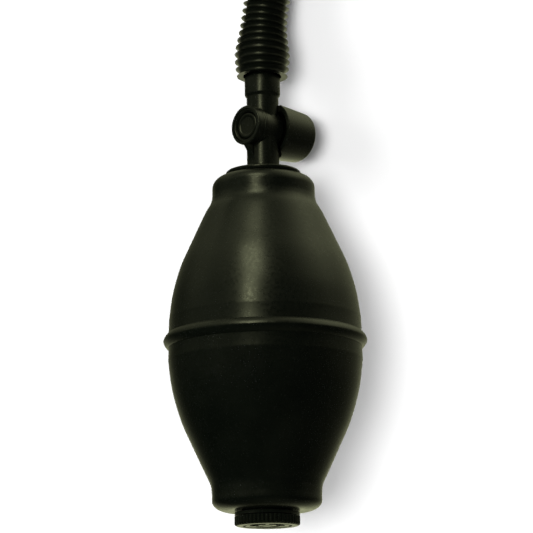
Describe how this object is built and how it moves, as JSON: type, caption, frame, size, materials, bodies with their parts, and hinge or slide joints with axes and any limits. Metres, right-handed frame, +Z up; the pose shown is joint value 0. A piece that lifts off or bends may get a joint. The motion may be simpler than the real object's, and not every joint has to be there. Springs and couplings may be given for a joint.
{
  "type": "siphon bulb pump",
  "caption": "One-hand squeeze-bulb pump with vent cap, check valves, push-button release valve and corrugated hose with nozzle.",
  "frame": {"origin": "on the floor under the middle of the pump's own box, hose and connector left out", "axes": "+Y along the floor towards the hose, +Z up, +X to the side of the release button. The pump's own axis lies in the YZ plane, 12 degrees below level at the hose end."},
  "size_m": [0.1556, 0.3171, 0.0571],
  "materials": {
    "bulb_rubber": "satin moulded rubber, near black with an olive cast",
    "black_plastic": "moulded black plastic, soft sheen",
    "hose_vinyl": "corrugated flexible vinyl, satin",
    "valve_rubber": "matt seal rubber",
    "spring_steel": "bright drawn wire and ground pin",
    "filter_foam": "open-cell filter foam"
  },
  "bodies": {
    "root": {"tee_body": "black_plastic", "tee_o_ring": "valve_rubber", "hose_flange": "black_plastic", "hose_valve_retainer": "black_plastic", "release_seat_ring": "black_plastic", "pin_guide_bush": "black_plastic", "release_pin_o_ring": "valve_rubber", "release_spring": "spring_steel", "vent_valve_body": "black_plastic", "vent_valve_retainer": "black_plastic", "hose_tube": "hose_vinyl", "hose_connector": "black_plastic", "connector_o_ring": "valve_rubber"},
    "bulb_left": {"bulb_wall_left": "bulb_rubber"},
    "bulb_right": {"bulb_wall_right": "bulb_rubber"},
    "release": {"release_button": "black_plastic", "release_pin": "spring_steel", "release_poppet": "black_plastic", "release_seal": "valve_rubber"},
    "hose_disc": {"hose_valve_disc": "valve_rubber"},
    "vent_disc": {"vent_valve_disc": "valve_rubber"},
    "filter_carrier": {"vent_filter": "filter_foam"},
    "cap": {"vent_cap": "black_plastic"}
  },
  "joints": [
    {"name": "bulb_squeeze_right", "type": "slide", "parent": "root", "child": "bulb_right", "axis": [-1, 0, 0], "range_m": [0, 0.01], "stiffness_N_per_m": 2500, "deforming": ["bulb_wall_right"]},
    {"name": "bulb_squeeze_left", "type": "slide", "parent": "root", "child": "bulb_left", "axis": [1, 0, 0], "range_m": [0, 0.01], "stiffness_N_per_m": 2500, "deforming": ["bulb_wall_left"]},
    {"name": "release_press", "type": "slide", "parent": "root", "child": "release", "axis": [-0.7071, 0.147, 0.6917], "range_m": [0, 0.0008], "stiffness_N_per_m": 600, "springref_m": -0.003, "deforming": ["release_spring"]},
    {"name": "hose_valve_lift", "type": "slide", "parent": "root", "child": "hose_disc", "axis": [0, -0.9781, 0.2079], "range_m": [0, 0.0012]},
    {"name": "vent_valve_lift", "type": "slide", "parent": "root", "child": "vent_disc", "axis": [0, -0.9781, 0.2079], "range_m": [0, 0.0012]},
    {"name": "cap_back_off", "type": "slide", "parent": "root", "child": "filter_carrier", "axis": [0, -0.9781, 0.2079], "range_m": [0, 0.002]},
    {"name": "cap_unscrew", "type": "hinge", "parent": "filter_carrier", "child": "cap", "pos_m": [0, -0.06852, 0.03899], "axis": [0, -0.9781, 0.2079], "range_deg": [0, 720]}
  ],
  "couplings": [
    {"joint": "bulb_squeeze_left", "follows": "bulb_squeeze_right", "ratio": 1},
    {"joint": "cap_unscrew", "follows": "cap_back_off", "rad_per_m": 6283}
  ]
}
